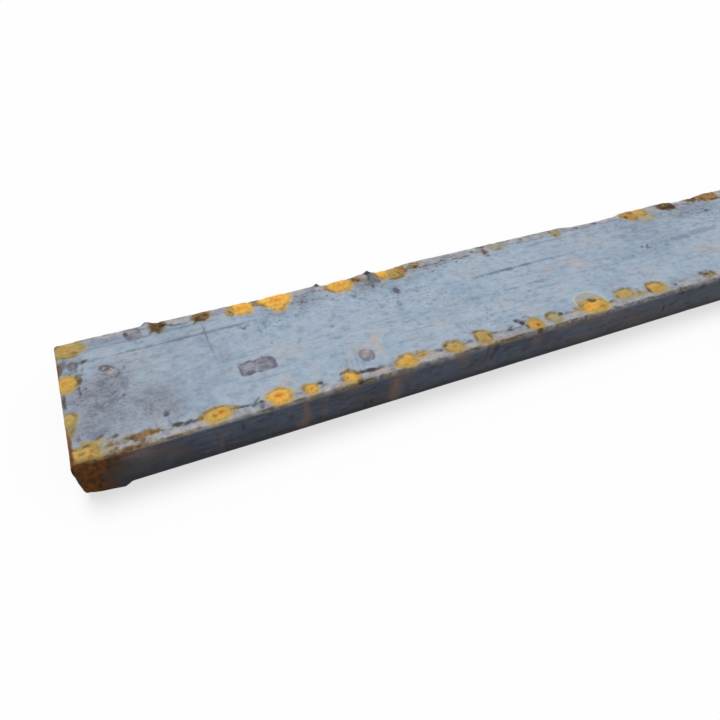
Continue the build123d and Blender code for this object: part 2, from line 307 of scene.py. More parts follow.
    (134.6, -53.8, 0.9, 1.0, 0, 0.9), (131.6, -54.4, 1.0, 1.4, 0, 0.9), (160, -53.6, 0.9, 1.6, 0, 0.9),
    (198.6, -46.5, 1.2, 4.0, -12, 0.6), (202.4, -47.5, 1.4, 5.5, -12, 0.7),
    (200.4, -54, 1.6, 1.6, 0, 0.6), (204.8, -43.4, 0.9, 1.6, -15, 0.9), (206, -51, 0.8, 1.6, 0, 0.5),
    (317.6, -50.2, 0.9, 2.4, 10, 0.95), (324, -48.4, 2.2, 0.9, 12, 0.75), (336, -52, 1.6, 1.2, 0, 0.85),
    (339.6, -55.4, 2.8, 1.6, 0, 0.7), (328.4, -42.4, 2.0, 0.8, 0, 0.95), (343.4, -42.6, 2.6, 1.4, 0, 0.7),
    (351, -52, 2.0, 1.0, 0, 0.6), (14.0, -49.0, 1.0, 1.0, 20, 0.8), (120, -42.4, 2.0, 0.6, 0, 0.6),
    (123.4, -46.6, 3.0, 0.8, 20, 0.6), (114.6, -53.6, 1.0, 1.2, 0, 0.5), (135, -46.6, 3.4, 0.9, 0, 0.5),
    (166.6, -44.6, 0.9, 1.6, 0, 0.5), (175.4, -43.8, 1.8, 0.8, 0, 0.4), (225.4, -44, 1.4, 1.0, 0, 0.8),
    (222.6, -49, 2.4, 1.0, 10, 0.7), (212, -54.6, 1.2, 0.8, 0, 0.7), (251.6, -53.6, 1.4, 1.2, 0, 0.6),
    (240.6, -51, 1.0, 2.0, -20, 0.4), (270, -45.2, 2.0, 1.0, 0, 0.4), (59.6, -51.6, 0.8, 3.4, 0, 0.7),
    (71.6, -45.2, 0.5, 1.8, 0, 0.8), (38, -50.4, 2.0, 1.4, 0, 0.35), (85, -42.4, 1.6, 0.9, 0, 0.7),
    (55, -54.4, 2.6, 1.0, 0, 0.4), (29, -46, 3.0, 1.0, 0, 0.4),
)
# Where the edge of the broken scale stands out as a dark ragged line: from, to, and how dark.
FRONT_LINES = (
    (14, 24, 0.8), (36, 57, 1.0), (69, 84, 0.9), (96, 104, 0.3), (109, 114, 0.6), (129, 142, 0.9),
    (143, 150, 0.4), (168, 178, 0.7), (188, 195, 0.6), (204, 227, 0.7), (247, 258, 0.6), (279, 286, 0.8),
    (299, 308, 0.3), (320, 350, 0.25),
)
BACK_LINES = (
    (40, 46, 0.4), (54, 68, 0.8), (78, 87, 0.9), (97, 105, 1.0), (118, 140, 0.5), (155, 174, 0.9),
    (188, 232, 1.0), (232, 240, 0.6), (255, 292, 0.4), (296, 346, 0.4), (368, 380, 0.6), (390, 403, 0.7),
)
# The soiled lengths of the front arris, black-brown in its fold: from, to, and how soiled.
FRONT_FOLDS = (
    (2, 38, 0.9), (38, 54, 0.95), (54, 80, 0.2), (80, 102, 0.85), (104, 117, 0.5), (117, 137, 0.95),
    (139, 146, 0.95), (146, 158, 0.6), (158, 176, 0.55), (180, 196, 0.8), (200, 222, 1.0),
    (222, 240, 0.6), (240, 262, 0.85), (262, 284, 0.7), (284, 350, 0.6),
)
# Scars where a flake of scale has come off: middle, half sizes, turn, and squareness.
FLAKES = (
    (83.2, -10.8, 4.4, 4.4, 4, 3.0), (91.6, -10.6, 5.0, 5.0, 8, 2.8), (139.3, -23.4, 3.8, 5.0, -6, 1.7),
    (37, 33.6, 4.0, 4.4, 0, 2.2), (98, 36, 3.0, 2.5, 0, 2.0), (168.8, 32.4, 3.0, 4.0, 10, 2.0),
)
# Brown rims of old drops: middle, half sizes, turn, and thickness.
RIMS = (
    (22.4, 11.8, 5.0, 2.7, -50, 0.8), (20.4, 14.4, 1.7, 1.3, -48, 1.1), (7.0, 21.4, 1.8, 2.2, 0, 1.0),
)
# Films that water left round a bloom, with a rim: middle, half sizes, and how olive the rim is.
FILMS = ((270.4, -30.8, 9.2, 9.2, 0.1), (361, 32.0, 8.0, 7.6, 1.0), (243.2, -33.8, 4.6, 4.6, 0.7))
# Faint rust haze, and cloudy patches of duller scale: middle, half sizes, and strength.
HAZES = (
    (148.4, -13, 1.8, 3.4, 0.9), (146.8, -20, 1.5, 8.0, 0.8), (139, -19, 9, 6, 0.4),
    (226, -14, 3.5, 3.5, 0.45), (262, -15, 5, 3, 0.35), (113, -22, 3.5, 4, 0.3), (97, -24.5, 4, 4, 0.5),
    (200, -4, 5, 4, 0.25), (105, -6, 7, 6, 0.25), (187, -15, 8, 6, 0.2), (263, 4, 6, 5, 0.35),
    (286, 3, 9, 7, 0.42), (375, -14, 12, 7, 0.3), (141, -35, 5, 2.5, 0.6), (172, -35, 6, 2.5, 0.5),
    (213, -36, 8, 2, 0.4), (22.9, 10.6, 1.5, 1.1, 1.0), (236, -24, 8, 5, 0.3), (139.6, -22, 3, 3, 0.4),
    (362.5, 33.5, 3, 2.6, 0.9), (235, -34, 2, 2, 0.6),
)
CLOUDS = (
    (17, -5, 8.5, 15, 1.0), (37, -15, 12, 10, 0.7), (8, -22, 9, 8, 0.6), (25, 6, 7, 9, 0.6),
    (5, 0, 6, 14, 0.7), (20, -26, 14, 5, 0.45), (46, -26, 6, 6, 0.4), (112, 26, 12, 5, 0.4),
    (126, 30, 10, 7, 0.6), (335, 14, 8, 6, 0.3), (6, 24, 6, 5, 0.9), (40, 2, 44, 44, 0.28),
    (24, 34, 14, 4, 0.6), (60, 34, 10, 4, 0.4), (92, -32, 4, 3, 0.3), (215, 34, 16, 3, 0.5),
    (168, 32, 6, 5, 0.8), (400, 28, 26, 9, 0.6), (180, 26, 30, 6, 0.2), (145, -36, 8, 3, 0.5),
    (160, 29, 8, 7, 0.6), (200, 34, 12, 5, 0.6), (330, -34, 14, 4, 0.3), (350, 30, 60, 40, 0.2),
)
# Where small dark specks are thick: middle, half sizes, and strength.
SPECKS = (
    (208, 31, 26, 5, 1.0), (128, 31, 18, 7, 0.9), (112, 24, 16, 7, 0.6), (20, -12, 18, 24, 0.25),
    (9, 6, 4, 14, 0.8), (160, 20, 20, 9, 0.5), (44, -24, 14, 10, 0.3), (98, 18, 14, 5, 0.7),
    (182, 6, 20, 12, 0.4), (330, 30, 30, 6, 0.4), (215, -20, 20, 10, 0.35), (400, 20, 30, 12, 0.4),
    (240, 20, 300, 60, 0.12), (700, 0, 300, 60, 0.3),
)
# Sooty patches on the front face.
SOOT = (
    (36, -50, 16, 9, 0.75), (15, -49, 9, 9, 1.0), (60, -56, 30, 3, 0.5), (290, -52, 26, 6, 0.4),
    (330, -50, 30, 9, 0.3), (100, -56, 20, 3, 0.4), (240, -56, 50, 3, 0.4),
)
# Brown runs down the front face, and crusts of heavy rust.
RUNS = (
    (101.6, -48.5, 2.0, 9, 1.0), (98.6, -54.5, 2.6, 3, 0.9), (148, -48.5, 3.2, 9, 1.0),
    (146.6, -54, 3.0, 4, 0.8), (60, -51, 1.8, 7, 0.4), (201.5, -49, 3.4, 8, 0.3),
    (110.6, -50, 1.6, 6, 0.4), (186, -45.5, 3, 5, 0.4), (229, -44.5, 3.5, 4.5, 0.5),
    (276, -44, 5, 3.5, 0.4), (246, -42.5, 7, 2, 0.7), (32, -45, 8, 5, 0.3), (300, -53, 12, 5, 0.3),
    (262, -54, 12, 4, 0.3), (262, -42, 10, 1.6, 0.6), (155, -42, 6, 2.0, 0.8), (184, -42, 5, 1.6, 0.7),
    (125, -42.5, 5, 1.6, 0.4), (26, -42, 8, 2.5, 0.7), (42, -48, 6, 4, 0.3),
)
CRUSTS = (
    (0, -49, 9.0, 13, 1.0), (8, -43, 10, 4.0, 0.6), (20, -40.5, 9, 1.4, 0.5), (0, -57, 11, 6, 0.9),
    (13, -48, 8, 8, 0.42), (0, -27, 1.8, 8, 0.68), (0, -35, 1.6, 6, 0.9), (0, 0, 1.1, 26, 0.5),
    (0.5, 21.5, 2.8, 5.5, 0.75), (16, -34, 9, 3.5, 0.36),
)
# Slivers of scale that stand up from the back arris: peak, length before and after it, and height.
SLIVERS = ((44, 3.2, 6.0, 2.3), (137.2, 3.4, 1.8, 2.4), (168.2, 4.6, 2.2, 2.5))
# How far the back arris is beaten down on the way along, as (u, mm). Below zero, rust has raised it.
BACK_DIPS = (
    (0, 0.0), (15, -0.2), (84, 0.2), (90, 0.5), (99, 0.8), (119, 0.6), (134, 0.4), (140, 1.5), (150, 1.1),
    (158, 0.8), (163, -0.2), (170, 0.2), (173, 1.1), (179, 1.1), (188, 0.1), (194, -0.3), (206, -0.5),
    (216, -0.2), (300, 0.0), (309, 1.5), (322, 1.9), (336, 1.8), (344, 1.3), (350, -0.3), (368, 0.0),
    (376, -0.4), (387, -0.5), (393, 1.1), (398, 1.5), (404, 0.8), (410, 1.2), (415, 0.2), (422, -0.5),
    (434, 0.0),
)


def oval(at_u, at_v, half_u, half_v, turn=0.0, power=2.2):
    """How many mm inside an oval each place lies, negative outside."""
    c, s = cos(radians(turn)), sin(radians(turn))
    a = ((u - at_u) * c + (v - at_v) * s) / half_u
    b = ((v - at_v) * c - (u - at_u) * s) / half_v
    return (1 - (abs(a) ** power + abs(b) ** power) ** (1 / power)) * min(half_u, half_v)


def patch(at_u, at_v, half_u, half_v, strength):
    """A soft patch that fades out past its half sizes."""
    return strength * np.exp(-(((u - at_u) / half_u) ** 2 + ((v - at_v) / half_v) ** 2) ** 1.3)


def patches(listed):
    """Soft patches laid over each other, from 0 to 1."""
    return np.clip(np.sum([patch(*p) for p in listed], 0), 0, 1)


TOP_EDGE, FOOT_EDGE = HALF_FLAT + 0.8, FOOT_ARRIS + 1.5  # v of the arrises that the blooms sit along


def edge_bloom(side, start, end, reach, short, tone, brown, broken):
    """An oval bloom along an arris: its inside distance, how far toward its rim's painted shade, tone, brown,
    broken.
    """
    at_u, half_u, half_v = (start + end) / 2, (end - start) / 2, (reach - short) / 2
    at_v = side * (TOP_EDGE - short - half_v)
    rimward = side * (at_v - v) / half_v + 0.6 * (at_u - u) / half_u
    return oval(at_u, at_v, half_u, half_v), rimward, tone, brown, broken


def along_arris(lengths, side):
    """The strength given for each length of one arris, along it."""
    strength = np.zeros(len(u))
    for start, end, here in lengths:
        here = here * rise(u, start - 1, start + 1) * (1 - rise(u, end - 1, end + 1))
        strength = np.maximum(strength, here)
    return strength * (v * side > 0)


# The length outside the photograph, the back face and the underside have rust and marks of the same kind,
# strewn at random. Its blooms follow each arris, from the place along the bar that is given with it.
scatter = np.random.default_rng(20)
STREWN_MARKS, STREWN_LINES, STREWN_FLAKES, STREWN_CRUSTS = 230, 60, 26, 10


def anywhere():
    """A place on the skin, drawn at random."""
    return scatter.uniform(0, LENGTH), scatter.uniform(-HALF_ROUND, HALF_ROUND)


blooms = [edge_bloom(-1, *b) for b in FRONT_BLOOMS] + [edge_bloom(1, *b) for b in BACK_BLOOMS]
for at_u, at_v, half_u, half_v, tone, brown, broken in END_BLOOMS:
    blooms.append((oval(at_u, at_v, half_u, half_v), (u - at_u) / half_u, tone, brown, broken))
for side, edge, at in ((-1, TOP_EDGE, 366), (1, TOP_EDGE, 446), (-1, FOOT_EDGE, 448), (1, FOOT_EDGE, 12)):
    while at < LENGTH:
        long, reach = scatter.uniform(5, 17), scatter.uniform(6, 12)
        tone = scatter.choice([0.1, 0.4, 0.6, 0.75, 0.9])
        brown = scatter.choice([0.05, 0.1, 0.2, 0.7, 0.95], p=[0.3, 0.25, 0.2, 0.15, 0.1])
        broken = scatter.uniform(0, 0.6)
        if edge == TOP_EDGE:
            short = scatter.uniform(-1, 1.5)
            blooms.append(edge_bloom(side, at, at + long, reach, short, tone, brown, broken))
        else:
            inside = oval(at + long / 2, side * edge, long / 2, reach * 0.4)
            blooms.append((inside, (at + long / 2 - u) / long, tone * 0.8, max(brown, 0.4), broken))
        at += long + scatter.uniform(4, 34 if edge == TOP_EDGE else 60)
marks = list(MARKS)
for _ in range(STREWN_MARKS):
    at_u, at_v = anywhere()
    long, wide = scatter.uniform(0.6, 2.2), scatter.uniform(0.5, 1.5)
    if at_u > SHOWN_LENGTH or abs(at_v) > FOOT_ARRIS or at_v > TOP_ARRIS:
        marks.append((at_u, at_v, long, wide, scatter.uniform(-30, 30), scatter.uniform(0.2, 0.8)))
for _ in range(STREWN_LINES):
    at_u, at_v = anywhere()
    if at_u > SHOWN_LENGTH or abs(at_v) > TOP_ARRIS:
        long, wide, how_dark = scatter.uniform(8, 40), scatter.uniform(0.4, 0.9), scatter.uniform(0.15, 0.45)
        marks.append((at_u, at_v, long, wide, 0, how_dark))
flakes = list(FLAKES)
for _ in range(STREWN_FLAKES):
    at_u, at_v = anywhere()
    long, wide = scatter.uniform(2, 8), scatter.uniform(2, 5)
    if at_u > SHOWN_LENGTH or abs(at_v) > UNDERSIDE:
        flakes.append((at_u, at_v, long, wide, scatter.uniform(-20, 20), scatter.uniform(1.6, 3.2)))
crusts = list(CRUSTS) + [(LENGTH, side * 49, 9, 14, 0.55) for side in (-1, 1)] + [(0, 49, 9, 12, 0.8)]
for _ in range(STREWN_CRUSTS):
    at_u, at_v = scatter.uniform(0, LENGTH), scatter.choice([-1, 1]) * scatter.uniform(68, HALF_ROUND)
    crusts.append((at_u, at_v, scatter.uniform(6, 22), scatter.uniform(4, 12), 0.6))

# What the marks come to at each place of the mesh: how many mm inside one it lies, and shares from 0 to 1.
OUTSIDE = -9.0
wide_ragged, fine_ragged = lumps(place, 5.0, 1), lumps(place, 2.0, 2)
ragged = wide_ragged * 1.1 + fine_ragged * 0.7
bloom, film, mark, deepest = (np.full(len(u), OUTSIDE) for _ in range(4))
rimward, tone, brown, dark, olive = (np.zeros(len(u)) for _ in range(5))
for inside, this_toward_shaded_side, this_tone, this_brown, broken in blooms:
    inside = inside + broken * (3.0 * fine_ragged + 1.6 * wide_ragged - 0.9)
    nearer = inside > bloom
    bloom[nearer], rimward[nearer] = inside[nearer], this_toward_shaded_side[nearer]
    tone[nearer], brown[nearer] = this_tone, this_brown
bloom += ragged * 0.9 - 0.3
for *shape, this_dark in marks:
    inside = oval(*shape) + ragged * 0.8 * min(1.2, min(shape[2:4]))
    depth = this_dark * rise(inside, -0.8, 0.5) + 0.001 * inside
    deeper = depth > deepest
    mark[deeper], dark[deeper], deepest[deeper] = inside[deeper], this_dark, depth[deeper]
for *shape, this_olive in FILMS:
    inside = oval(*shape) + ragged * 0.3
    nearer = inside > film
    film[nearer], olive[nearer] = inside[nearer], this_olive
flake = np.max([oval(*f) for f in flakes], 0) + ragged * 0.8
rim = np.max([thick - abs(oval(*shape)) for *shape, thick in RIMS], 0) + ragged * 0.5
heart = np.max([oval(*h) for h in HEARTS], 0) + ragged * 0.5
haze, specks, cloud = patches(HAZES), patches(SPECKS), patches(CLOUDS)
run, crust = patches(RUNS), patches(crusts)
at_end = rise(cap, 0, 0.5)
cut_depth = np.where(u < LENGTH / 2, z - LAND_FOOT, THICKNESS - z - LAND_FOOT) + 0.9 * torn
land = at_end * rise(cut_depth, -0.4, 0.3)
along = np.stack([u, np.sign(v) * HALF_WIDTH, np.zeros_like(u)], 1)
scar = abs(v) - 33.6 - 1.4 * lumps(along, 17, 5) - 1.2 * lumps(along, 5, 6) + 0.5 * ragged
scar -= 3.0 * (v > 0) * (1 - rise(u, 46, 60))
lip = np.maximum(along_arris(FRONT_LINES, -1), along_arris(BACK_LINES, 1))
soiled = np.maximum(along_arris(FRONT_FOLDS, -1), 0.6 * ((v > 0) | (u > SHOWN_LENGTH - 90)))
fold = soiled * np.exp(-(((abs(v) - HALF_FLAT - 1.3) / 0.6) ** 2))
worn_to = TOP_ARRIS - 0.2 - 1.2 * (v < 0) * (1 - rise(u, 40, 130))
below_wear = rise(abs(v) - worn_to, 0, 1)
worn = rise(abs(v), HALF_FLAT - 0.6, HALF_FLAT + 0.7) * (1 - below_wear)
narrow = below_wear * (1 - rise(abs(v), UNDERSIDE - 1.6, UNDERSIDE - 0.2))
# Darker towards the foot of the narrow faces and round the foot arris, with sooty patches on the front face.
grubby = rise(abs(v), FOOT_ARRIS - 4, FOOT_ARRIS + 1) * (1 - rise(abs(v), UNDERSIDE - 0.4, UNDERSIDE + 2))
grubby = np.clip(grubby + narrow * np.sum([patch(*s) for s in SOOT], 0), 0, 1)

# The relief, in mm along the outward direction: slow waves, the fuller arrises, the beaten one, blooms that
# stand up inside a sunk outline, broken scale, scars, marks, crusts, and pits in the cloudy patches.
fine = lumps(place, 1.7, 3)
coarse = lumps(place, 3.4, 4)
height = 0.05 * lumps(place, 22, 7) + 0.02 * coarse
height += FOOT_FULLNESS * np.sin(pi * np.clip((abs(v) - FOOT_ARRIS) / ARC, 0, 1)) * rise(u, -1, 4)
height += BACK_FULLNESS * np.sin(pi * np.clip((v - HALF_FLAT) / ARC, 0, 1))
beaten = 0.12 * worn * rise(lumps(place, 6, 8) + 0.5 * coarse, 0.05, 0.7)
height -= beaten + 0.14 * fold * (v < 0) * rise(fine, -0.2, 0.4)
height += -0.3 * rise(bloom, -0.3, 0.5) + 0.5 * rise(bloom, 0.5, 2.8) * (1 - 0.5 * brown)
height += (0.16 * fine + 0.14 * coarse) * rise(bloom, 0, 1.2) + 0.1 * np.exp(-(((bloom + 0.6) / 0.45) ** 2))
height -= 0.12 * rise(scar, -0.3, 0.4) * (1 - rise(bloom, -0.5, 0)) * (1 - narrow)
height -= 0.13 * rise(flake, -0.3, 0.4) + 0.12 * dark * rise(mark, -0.3, 0.4)
height += crust * (0.22 * coarse + 0.16 * fine - 0.1)
height -= 0.12 * cloud * rise(fine + coarse, 0.3, 1.0)
height *= 1 - at_end
place[:, 1] += ny * height
place[:, 2] += nz * height
place[:, 0] += at_end * off_middle * (1 - 0.8 * land) * np.where(u < 0, 1, -1) * 0.12 * fine

# The back arris with its slivers of scale and its beaten dips, and the burr under the left corner.
for peak, before, after, tall in SLIVERS:
    shape = np.interp(u, (peak - before, peak, peak + after), (0, 1, 0)) ** 1.3
    shape = shape * np.exp(-(((v - HALF_FLAT - 1.6) / 1.3) ** 2))
    place[:, 1] += tall * shape
    place[:, 2] += 0.4 * shape
more_dips = rise(u, SHOWN_LENGTH, SHOWN_LENGTH + 30) * np.maximum(2 * lumps(along, 40, 9), 0)
dip = np.interp(u, *zip(*BACK_DIPS)) + more_dips
dip = dip * np.exp(-(((v - HALF_FLAT - 1.4) / 2.4) ** 2))
place[:, 1] -= 0.55 * dip
place[:, 2] -= 0.5 * dip
burr = np.interp(u, (2, 10, 15, 17.3, 18.6, 20.6), (0, 0.4, 0.75, 1, 0.65, 0))
burr = burr * np.exp(-(((v + FOOT_ARRIS + 1.2) / 2.4) ** 2))
place[:, 1] -= 1.8 * burr
place[:, 2] -= 0.5 * burr
HIGHEST, WIDEST = 20.45, 41.5  # nothing on the skin stands out further
place[:, 1] = np.clip(place[:, 1], -WIDEST, WIDEST)
place[:, 2] = np.clip(place[:, 2], 0, HIGHEST)

# Faces, in order round each row, then round each ring of the two ends, which one last face closes.
quads = []
for r in range(len(rows) - 1):
    for c in range(around):
        d = (c + 1) % around
        quads.append((r * around + c, (r + 1) * around + c, (r + 1) * around + d, r * around + d))
for first, start in ((0, on_near_cap), ((len(rows) - 1) * around, on_far_cap)):
    rings = [first] + [start + k * around for k in range(len(insets))]
    for a, b in zip(rings, rings[1:]):
        for c in range(around):
            d = (c + 1) % around
            quad = (a + c, a + d, b + d, b + c)
            quads.append(quad if start == on_near_cap else quad[::-1])
    last = tuple(rings[-1] + c for c in range(around))
    quads.append(last if start == on_near_cap else last[::-1])

place[:, 0] -= LENGTH / 2
mesh = bpy.data.meshes.new("rolled_flat_bar")
mesh.from_pydata((place / 1000).tolist(), [], quads)
mesh.shade_smooth()
fields = dict(
    bloom=bloom, rimward=rimward, tone=tone, brown=brown, mark=mark, dark=dark, flake=flake, rim=rim,
    film=film, olive=olive, heart=heart, haze=haze, specks=specks, cloud=cloud, run=run, crust=crust,
    at_end=at_end, land=land, scar=scar, lip=lip, soiled=soiled, fold=fold, worn=worn, narrow=narrow,
    grubby=grubby,
)
for name, values in fields.items():
    mesh.attributes.new(name, "FLOAT", "POINT").data.foreach_set("value", values.astype(np.float32))
bar = bpy.data.objects.new("rolled_flat_bar", mesh)
bpy.context.collection.objects.link(bar)


def paint(red, green, blue):
    """A colour as 0 to 255 in each of red, green and blue, for a colour socket."""
    linear = [c / 255 / 12.92 if c < 10 else ((c / 255 + 0.055) / 1.055) ** 2.4 for c in (red, green, blue)]
    return (*linear, 1.0)


class Link:
    """A socket in a material. Sums and products of links add the Math nodes that work them out."""

    def __init__(self, tree, socket=None):
        self.tree, self.socket = tree, socket

    def node(self, kind, settings, inputs, output=0):
        """One of a new node's outputs. Its settings go in first, then the values or links of its sockets."""
        made = self.tree.nodes.new(kind)
        for name, value in settings.items():
            if name == "stops":
                for _ in value[2:]:
                    made.color_ramp.elements.new(0.5)
                for element, (at, colour) in zip(made.color_ramp.elements, value):
                    element.position, element.color = at, colour
            else:
                setattr(made, name, value)
        for name, value in inputs.items():
            if isinstance(value, Link):
                self.tree.links.new(value.socket, made.inputs[name])
            else:
                made.inputs[name].default_value = value
        return Link(self.tree, made.outputs[output] if made.outputs else None)

    def math(self, operation, a, b):
        return self.node("ShaderNodeMath", {"operation": operation}, {0: a, 1: b})

    def __add__(self, other):
        return self.math("ADD", self, other)

    def __sub__(self, other):
        return self.math("SUBTRACT", self, other)

    def __mul__(self, other):
        return self.math("MULTIPLY", self, other)

    def __radd__(self, other):
        return self.math("ADD", other, self)

    def __rsub__(self, other):
        return self.math("SUBTRACT", other, self)

    def __rmul__(self, other):
        return self.math("MULTIPLY", other, self)

    def __abs__(self):
        return self.math("ABSOLUTE", self, 0.0)

    def or_more(self, other):
        """This or the other, whichever is greater."""
        return self.math("MAXIMUM", self, other)

    def rise(self, low, high):
        """0 below low, 1 above high, and smooth between."""
        return self.node("ShaderNodeMapRange", {"interpolation_type": "SMOOTHSTEP"},
                         {"Value": self, "From Min": low, "From Max": high})

    def over(self, low, high):
        """Where a grain stands above its middle: 0 at low and 1 at high."""
        return (self - 0.5).rise(low, high)

    def under(self, low, high):
        """Where a grain lies below its middle: 0 at low and 1 at high."""
        return (0.5 - self).rise(low, high)

    def mix(self, other, share):
        """This colour turned into the other, a link or (red, green, blue), by the share."""
        other = other if isinstance(other, Link) else paint(*other)
        return self.node("ShaderNodeMix", {"data_type": "RGBA", "clamp_factor": True},
                         {0: share, 6: self, 7: other}, 2)

    def coats(self, *coats):
        """This colour under coats of others, each (colour, share) over the one before."""
        colour = self
        for other, share in coats:
            colour = colour.mix(other, share)
        return colour

    def shade(self, amount):
        """This colour times a value."""
        return self.node("ShaderNodeVectorMath", {"operation": "SCALE"}, {0: self, "Scale": amount})


steel = bpy.data.materials.new("scaled_and_rusted_steel")
steel.use_nodes = True
steel.node_tree.nodes.clear()
new = Link(steel.node_tree)
spot = new.node("ShaderNodeTexCoord", {}, {}, "Object").shade(1000)


def field(name):
    """One of the mesh's own values."""
    return new.node("ShaderNodeAttribute", {"attribute_name": name}, {}, "Fac")


def grain(size, along=1.0, detail=2.0, shift=0.0, across=1.0):
    """Noise from 0 to 1, with grains of that size in mm, drawn out along the bar or across it."""
    at = new.node("ShaderNodeVectorMath", {"operation": "MULTIPLY_ADD"},
                  {0: spot, 1: (1 / along / size, 1 / across / size, 1 / across / size),
                   2: (shift, shift * 1.7, shift * 0.3)})
    return new.node("ShaderNodeTexNoise", {"noise_dimensions": "3D"},
                    {"Vector": at, "Scale": 1.0, "Detail": detail, "Roughness": 0.55}, "Fac")


def ramp(value, *stops):
    """A colour that passes through the stops, each (value, (red, green, blue))."""
    painted = [(at, paint(*rgb)) for at, rgb in stops]
    return new.node("ShaderNodeValToRGB", {"stops": painted}, {"Fac": value}, "Color")


speckle = grain(0.7, 1.0, 2.0, 3.0)
pebble = grain(1.6, 1.0, 3.0, 9.0)
mottle = grain(3.2, 1.4, 4.0, 21.0)
blotch = grain(7.0, 1.8, 3.0, 4.0)
drift = grain(28.0, 1.6, 2.0, 7.0)
streak = grain(0.9, 22.0, 3.0, 2.0)
wide_streak = grain(2.6, 14.0, 3.0, 12.0)
brushed = grain(0.5, 1.0, 2.0, 33.0, 7.0)
crumb = grain(2.0, 1.3, 3.0, 40.0)
grit = grain(1.0, 1.0, 3.0, 47.0)


def frayed(name, by_speckle, by_pebble):
    """One of the mesh's own values, in mm, with the edge at 0 frayed by the finest grains."""
    return field(name) + (speckle - 0.5) * by_speckle + (pebble - 0.5) * by_pebble


# Mill scale: blue-grey, with warmer drifts, short streaks drawn out by the rolls and a fine mottle.
scale = ramp(drift, (0.32, (140, 159, 178)), (0.5, (153, 170, 187)), (0.68, (160, 171, 184)))
scale = scale.coats(
    ((163, 163, 170), blotch.over(0.0, 0.22) * 0.55),
    ((126, 144, 162), mottle.under(0.0, 0.18) * 0.65),
    ((172, 186, 200), mottle.over(0.02, 0.2) * 0.5),
    ((118, 136, 154), wide_streak.over(0.06, 0.24) * 0.5),
    ((102, 116, 132), streak.over(0.12, 0.26) * 0.4),
)
scale = scale.shade(0.74 + 0.26 * speckle + 0.2 * pebble + 0.08 * brushed)
scale = scale.mix((86, 92, 104), pebble.over(0.17, 0.24) * mottle.over(-0.05, 0.1) * 0.5)

# Cloudy patches of duller scale, and small dark specks.
cloudy = field("cloud")
scale = scale.coats(
    (ramp(mottle, (0.35, (98, 103, 118)), (0.6, (129, 134, 146))), cloudy * (0.5 + 0.7 * blotch)),
    ((112, 100, 104), cloudy * grain(4.0, 1.0, 3.0, 65.0).over(0.04, 0.16) * 0.35),
    ((76, 76, 86), cloudy * pebble.over(0.06, 0.2) * 0.55),
    ((168, 172, 182), cloudy * pebble.under(0.06, 0.2) * 0.35),
    ((72, 74, 86), field("specks") * grain(1.3, 1.5, 1.0, 130.0).over(0.11, 0.17) * 0.85),
)

# Barer steel where the scale has broken away beside the arris, with a dark ragged lip.
soil = field("soiled")
scar_field = frayed("scar", 0.8, 1.2)
bare = ramp(mottle, (0.34, (128, 132, 144)), (0.5, (151, 153, 161)), (0.66, (172, 169, 170)))
bare = bare.shade(0.72 + 0.24 * speckle + 0.3 * pebble)
bare = bare.mix((104, 92, 92), grain(2.2, 1.6, 3.0, 83.0).over(0.06, 0.18) * soil * 0.6)
lip_width = 0.35 + 1.3 * grain(4.0, 2.0, 2.0, 15.0)
on_lip = (1 - (abs(scar_field) - lip_width * 0.6).rise(0.0, 0.5)) * field("lip")
lip_breaks = grain(2.6, 1.6, 3.0, 19.0).over(-0.1, 0.06)
scale = scale.coats(
    (bare, scar_field.rise(-0.4, 0.5) * (0.5 + 0.7 * blotch)),
    (ramp(pebble, (0.4, (58, 50, 50)), (0.62, (104, 84, 76))), on_lip * lip_breaks * 0.85),
)

# The worn arris: bright steel, soiled black-brown and straw in lengths, and its fold.
wear = field("worn")
scale = scale.coats(
    (ramp(mottle, (0.35, (140, 141, 148)), (0.62, (192, 192, 192))), wear * 0.85),
    ((60, 54, 54), wear * soil * grain(1.5, 1.4, 3.0, 51.0).over(0.0, 0.12) * 0.8),
    ((112, 88, 66), wear * soil * grain(4.5, 3.0, 3.0, 31.0).over(0.04, 0.14) * 0.55),
    ((150, 136, 112), wear * soil.rise(0.75, 1.0) * (0.2 + 0.7 * mottle)),
    ((190, 162, 110), wear * soil.rise(0.75, 1.0) * grain(1.3, 1.6, 2.0, 55.0).over(0.04, 0.12) * 0.8),
    ((50, 42, 38), field("fold") * grain(2.2, 2.2, 3.0, 53.0).over(-0.12, 0.06) * 0.9),
)

# Darker slate scale on the narrow faces, partly their own and partly painted shade, as they face from the
# light.
slate_and_painted_shade = ramp(drift, (0.34, (92, 94, 106)), (0.5, (104, 115, 135)), (0.66, (114, 117, 128)))
slate_and_painted_shade = slate_and_painted_shade.coats(
    ((76, 76, 84), wide_streak.over(0.0, 0.2) * 0.75),
    ((116, 124, 142), wide_streak.under(0.02, 0.18) * 0.6),
    ((120, 107, 104), blotch.over(0.02, 0.2) * 0.5),
    ((90, 106, 134), grain(6.0, 2.0, 2.0, 95.0).over(0.0, 0.14) * 0.7),
    ((62, 62, 68), streak.over(0.04, 0.22) * 0.65),
    ((66, 66, 70), grain(3.4, 2.0, 3.0, 90.0).over(0.05, 0.17) * 0.6),
    ((150, 156, 170), grain(1.2, 5.0, 3.0, 44.0).over(0.08, 0.2) * 0.4),
)
slate_and_painted_shade = slate_and_painted_shade.shade(0.72 + 0.22 * speckle + 0.34 * pebble)
# Darker towards the foot, and in sooty patches.
slate_and_painted_shade = slate_and_painted_shade.mix((68, 64, 63), field("grubby") * (0.4 + 0.6 * blotch))
slate_and_painted_shade = slate_and_painted_shade.mix((84, 70, 58), field("crust").rise(0.03, 0.4) * 0.8)
# Painted shade: the narrow faces take the darker slate colour.
scale = scale.mix(slate_and_painted_shade, field("narrow"))

